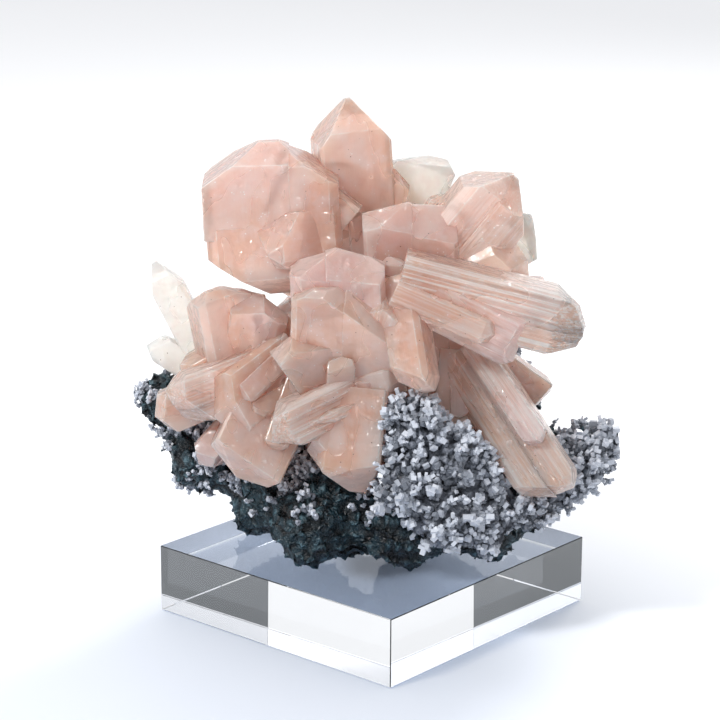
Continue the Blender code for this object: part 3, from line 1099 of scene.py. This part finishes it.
def stilbite_material():
    """Milky peach with clouds, painted shade at the roots and lines on the ribbed crystals.

    The lines are partly painted highlights, and painted highlights on the edges and small painted glints lie
    over all.
    """
    material, tree, shader = new_material(
        "stilbite", Subsurface_Weight=1.0, Subsurface_Scale=0.008, Subsurface_Radius=SCATTER_RADIUS,
        Transmission_Weight=0.52, IOR=1.5, Coat_Weight=0.6, Coat_Roughness=0.10)
    here = object_place(tree)
    patches, fine = grain_node(tree, here, 40.0, 260.0)
    growth = attribute(tree, "growth", "Vector")
    ribbed = attribute(tree, "ribbed")
    tint = attribute(tree, "tint")
    lines = stretched_noise(tree, growth, LINE_STRETCH, 3.0)
    clouds = stretched_noise(tree, growth, CLOUD_STRETCH, 1.5, distortion=0.6)
    height = node(tree, "ShaderNodeSeparateXYZ", {0: here})
    upper = times(tree, mask_of(tree, height.outputs["Z"], *WARM_BETWEEN), 0.35)
    warm = math_node(tree, 'ADD', mask_of(tree, patches, 0.46, 0.80), upper)
    # painted highlights along the lines, strongest on the ribbed crystals, over their real striations
    line_highlights = times(tree, mask_of(tree, lines, 0.46, 0.64), mix_value(tree, ribbed, 0.04, 0.75))
    # painted glints: small white dots where the fine grain allows
    sparkle = times(tree, dots(tree, here, SPARKLE_SCALE, 0.20), mask_of(tree, fine, 0.54, 0.62))
    # how strongly each edge shows its painted highlight, broken up by the fine grain
    edge_glint_share = mix_value(tree, mask_of(tree, fine, 0.40, 0.60), 0.05, 0.50)
    colour = layered(tree, PEACH, (
        (mask_of(tree, tint, 0.3, 0.9), LILAC),
        (math_node(tree, 'MINIMUM', warm, 1.0), ORANGE),
        # painted shade: the crystals darken towards their roots, where they crowd together
        (mask_of(tree, attribute(tree, "tip"), 0.85, 0.10), ROOT_SHADE),
        (times(tree, mask_of(tree, clouds, 0.40, 0.70), 0.60), MILK),
        # painted highlights on the lines
        (line_highlights, WHITE),
        # pale crystals: partly their own paler tone and partly a painted glow of light passing through them
        (mask_of(tree, tint, 1.0, PALE_TINT), PALE_GLOW),
        (times(tree, mask_of(tree, fine, 0.46, 0.66), 0.40), MILK),
        (dots(tree, here, SPECK_SCALE, 0.06), SPECK),
        # painted glints
        (sparkle, WHITE),
        # painted highlights along the broken edges
        (times(tree, attribute(tree, "edge_highlight"), edge_glint_share), PALE_GLOW),
    ))
    rough = mix_value(tree, mask_of(tree, clouds, 0.35, 0.65), 0.20, 0.36)
    lined = bump(tree, lines, 0.0007, mix_value(tree, ribbed, 0.06, 1.0))
    grained = bump(tree, fine, 0.0008, 0.40, Normal=lined)
    rippled = bump(tree, stretched_noise(tree, here, RIPPLE_STRETCH, 3.0), 0.0022, 0.9)
    broken = bump(tree, cell_distance(tree, here, WAVE_SCALE), 0.0016, 0.8, Normal=rippled)
    feed(tree, shader, Base_Color=colour, Roughness=rough, Normal=grained, Coat_Normal=broken)
    return material


STILBITE = stilbite_material()
print("stilbite nodes:", len(STILBITE.node_tree.nodes))

# %% [markdown]
# ## Basalt and chalcedony
#
# The rock's colour follows its relief: painted shade makes it near black in its pits, and its high points are
# teal, partly its own colour and partly painted light. The crust goes from grey-lilac to white in the same
# way.
# Ambient occlusion could find the pits, but the carving already stored them, so both skins read that relief.
# The twigs read their own height.

# %% The stones' materials
BASALT_TONES = ((0.002, 0.003, 0.004), (0.008, 0.026, 0.036), (0.150, 0.260, 0.310))
CHALCEDONY_TONES = ((0.035, 0.040, 0.050), (0.180, 0.195, 0.230), (0.480, 0.500, 0.560))
DRUSE_TONES = ((0.150, 0.165, 0.195), (0.560, 0.590, 0.650), (0.900, 0.915, 0.950))
QUARTZ_IOR = 1.54
ROUGH_SPREAD = 0.15


def relief_material(name, tones, rough):
    """A stone whose colour climbs with its relief: painted shade in the pits, painted light on the high
    points, and grit there.
    """
    material, tree, shader = new_material(name, Roughness=rough)
    patches, fine = grain_node(tree, object_place(tree), 90.0, 900.0)
    relief = attribute(tree, "relief")
    deep, middle, top = tones
    high = times(tree, mask_of(tree, relief, 0.55, 0.85), mask_of(tree, patches, 0.38, 0.62))
    grit = times(tree, mask_of(tree, relief, 0.35, 0.75), mask_of(tree, fine, 0.56, 0.64))
    # painted shade: the colour darkens into the pits that the carving stored, and lightens towards the high
    # points as painted light over the stone's own colour
    colour = layered(tree, deep, (
        (mask_of(tree, relief, 0.30, 0.62), middle),
        (math_node(tree, 'MAXIMUM', high, times(tree, grit, 0.6)), top),
    ))
    uneven = mix_value(tree, fine, rough - ROUGH_SPREAD, rough + ROUGH_SPREAD)
    feed(tree, shader, Base_Color=colour, Roughness=uneven, Normal=bump(tree, fine, 0.0015, 1.0))
    return material


def druse_material(name, tones):
    """Blocky grains, white at a twig's tip and dark at its foot, where the dark is painted shade between the
    twigs.
    """
    material, tree, shader = new_material(name, IOR=QUARTZ_IOR)
    patches, fine = grain_node(tree, object_place(tree), 110.0, 900.0)
    height = attribute(tree, "height")
    deep, middle, top = tones
    # painted shade: a twig darkens towards its foot, between the twigs
    colour = layered(tree, deep, (
        (mask_of(tree, height, 0.10, 0.70), middle),
        (mask_of(tree, height, 0.65, 1.50), top),
        (mask_of(tree, patches, 0.52, 0.70), middle),
    ))
    feed(tree, shader, Base_Color=colour, Roughness=mix_value(tree, fine, 0.15, 0.45))
    return material


BASALT = relief_material("basalt", BASALT_TONES, 0.40)
CHALCEDONY = relief_material("chalcedony", CHALCEDONY_TONES, 0.45)
DRUSE = druse_material("druse", DRUSE_TONES)
print("stone materials:", BASALT.name, CHALCEDONY.name, DRUSE.name)

# %% [markdown]
# ## The clear block
#
# The block is cast acrylic with polished edges. Its flat faces show its own far sides by refraction, which
# only real transmission gives. Light also has to pass through it to the floor and back up, so shadow rays
# and diffuse rays see a plain transparent shader instead of waiting for caustics.

# %% The block
BLOCK_SIDE = 79.6
BLOCK_THICKNESS = 18.0
BLOCK_TURN = math.radians(-40.7)
BLOCK_EDGE = 0.2
ACRYLIC_IOR = 1.49
ACRYLIC_TINT = (0.985, 0.99, 0.995, 1.0)
ACRYLIC_SHADE = (0.68, 0.73, 0.81, 1.0)


def make_block():
    """The block, a hair inside its solid, with its edges just broken."""
    bm = bmesh.new()
    bmesh.ops.create_cube(bm, size=1.0)
    bmesh.ops.scale(bm, vec=(BLOCK_SIDE, BLOCK_SIDE, BLOCK_THICKNESS), verts=bm.verts)
    bmesh.ops.translate(bm, vec=(0, 0, BLOCK_THICKNESS / 2), verts=bm.verts)
    bmesh.ops.bevel(bm, geom=bm.edges[:], offset=BLOCK_EDGE, segments=1, affect='EDGES')
    bm.transform(Matrix.Rotation(BLOCK_TURN, 4, 'Z'))
    return mesh_object("clear_block", bm)


def acrylic_material():
    """Clear acrylic that lets light through to the floor."""
    material, tree, shader = new_material(
        "acrylic", Transmission_Weight=1.0, IOR=ACRYLIC_IOR, Roughness=0.0, Base_Color=ACRYLIC_TINT)
    clear = node(tree, "ShaderNodeBsdfTransparent", {"Color": ACRYLIC_SHADE})
    rays = node(tree, "ShaderNodeLightPath").outputs
    soft = math_node(tree, 'MAXIMUM', rays["Is Shadow Ray"], rays["Is Diffuse Ray"])
    mix = node(tree, "ShaderNodeMixShader", {0: soft, 1: shader.outputs[0], 2: clear.outputs[0]})
    tree.links.new(mix.outputs[0], tree.nodes["Material Output"].inputs["Surface"])
    return material


ACRYLIC = acrylic_material()
block = make_block()

# %% [markdown]
# ## One list of finishes
#
# Each finished piece takes one material and stands in for its solid. A call for each of them would repeat
# the same four lines six times, so a table names the piece, its material, its slot and the solid that it
# replaces.

# %% Give every piece its material and body
FINISHES = (
    (cluster, STILBITE, "stilbite_pink", "stilbite_cluster"),
    (rock, BASALT, "basalt_dark", "basalt_matrix"),
    (rim_twigs, DRUSE, "chalcedony_pale", None),
    (crust, CHALCEDONY, "chalcedony_pale", "chalcedony_crust"),
    (crust_twigs, DRUSE, "chalcedony_pale", None),
    (block, ACRYLIC, "clear_acrylic", "display_block"),
)
for piece, material, slot, replaced in FINISHES:
    piece.data.materials.clear()
    piece.data.materials.append(material)
    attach(piece, "root")
    if replaced:
        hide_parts(replaced)
print("pieces:", [piece.name for piece, *_ in FINISHES])

# %% [markdown]
# ## Floor and light
#
# The block stands on a seamless white floor, with a painted cool shadow around the block. A bright world
# gives the soft fill, a small lamp from the upper left gives the crystals their modelling, and one from
# behind makes their thin edges glow.

# %% The studio
FRONT_GREY = (0.28, 0.29, 0.31)
SIDE_GREY = (0.17, 0.18, 0.19)
ROOM_WHITE = (0.97, 0.98, 1.0)
BACK_LIGHT = (0.25, 0.60)
TOP_LIGHT = (0.25, 0.80)
SIDE_DARK = (0.76, 0.90)
BELOW_TOP = (0.6, 0.2)
FLOOR_HALF = 3.0
FLOOR_DROP = 0.0003
FLOOR_ROUGH = 0.6
FLOOR_SHADOW_TONE = (0.70, 0.74, 0.81)
FLOOR_WHITE = (0.97, 0.97, 0.98)
SHADOW_CENTRE = (-0.05, -0.12, 0.0)
SHADOW_REACH = (0.06, 0.32)
LAMPS = (
    ("key", (-0.45, -0.40, 0.60), 0.12, 4.6),
    ("rim", (0.35, 0.55, 0.55), 0.25, 3.0),
)


def make_floor():
    """A wide white floor under the block, with a cool painted shadow near it."""
    bm = bmesh.new()
    bmesh.ops.create_grid(bm, x_segments=1, y_segments=1, size=FLOOR_HALF)
    bmesh.ops.translate(bm, vec=(0, 0, -FLOOR_DROP), verts=bm.verts)
    floor = linked("floor", bm)
    material, tree, shader = new_material("floor", Roughness=FLOOR_ROUGH)
    # painted shadow: the floor turns cool and darker near the block
    centre = node(tree, "ShaderNodeVectorMath", {0: object_place(tree), 1: SHADOW_CENTRE}, operation='DISTANCE')
    away = mask_of(tree, centre.outputs["Value"], *SHADOW_REACH)
    feed(tree, shader, Base_Color=layered(tree, FLOOR_SHADOW_TONE, ((away, FLOOR_WHITE),)))
    floor.data.materials.append(material)
    floor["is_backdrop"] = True


def make_lamp(name, place_of, size, power):
    """A square area lamp that looks at the specimen."""
    data = bpy.data.lights.new(name, 'AREA')
    data.size = size
    data.energy = power
    lamp = in_scene(name, data)
    lamp.location = place_of
    lamp.rotation_euler = (Vector(place_of) - AIM).to_track_quat('Z', 'Y').to_euler()


def make_world():
    """A white room, dimmer in front and dark at both sides, which is what the block's ends reflect."""
    world = bpy.data.worlds.new("studio")
    world.use_nodes = True
    tree = world.node_tree
    around = node(tree, "ShaderNodeTexCoord").outputs["Generated"]
    direction = node(tree, "ShaderNodeSeparateXYZ", {0: around})
    upwards = mask_of(tree, direction.outputs["Z"], *TOP_LIGHT)
    bright = math_node(tree, 'MAXIMUM', mask_of(tree, direction.outputs["Y"], *BACK_LIGHT), upwards)
    sideways = math_node(tree, 'ABSOLUTE', direction.outputs["X"], 0.0)
    aside = times(tree, mask_of(tree, sideways, *SIDE_DARK), mask_of(tree, upwards, *BELOW_TOP))
    room = layered(tree, FRONT_GREY, ((bright, ROOM_WHITE), (aside, SIDE_GREY)))
    tree.links.new(room, tree.nodes["Background"].inputs["Color"])
    bpy.context.scene.world = world


make_floor()
for lamp in LAMPS:
    make_lamp(*lamp)
make_world()
bpy.context.scene.view_settings.view_transform = 'Standard'

# %% [markdown]
# ## Sizes
#
# The finished surface has to stay inside the box of the solids, so both boxes are written down side by side.

low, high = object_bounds()
print("the finished object spans, in mm:", [round((b - a) / MM, 1) for a, b in zip(low, high)])
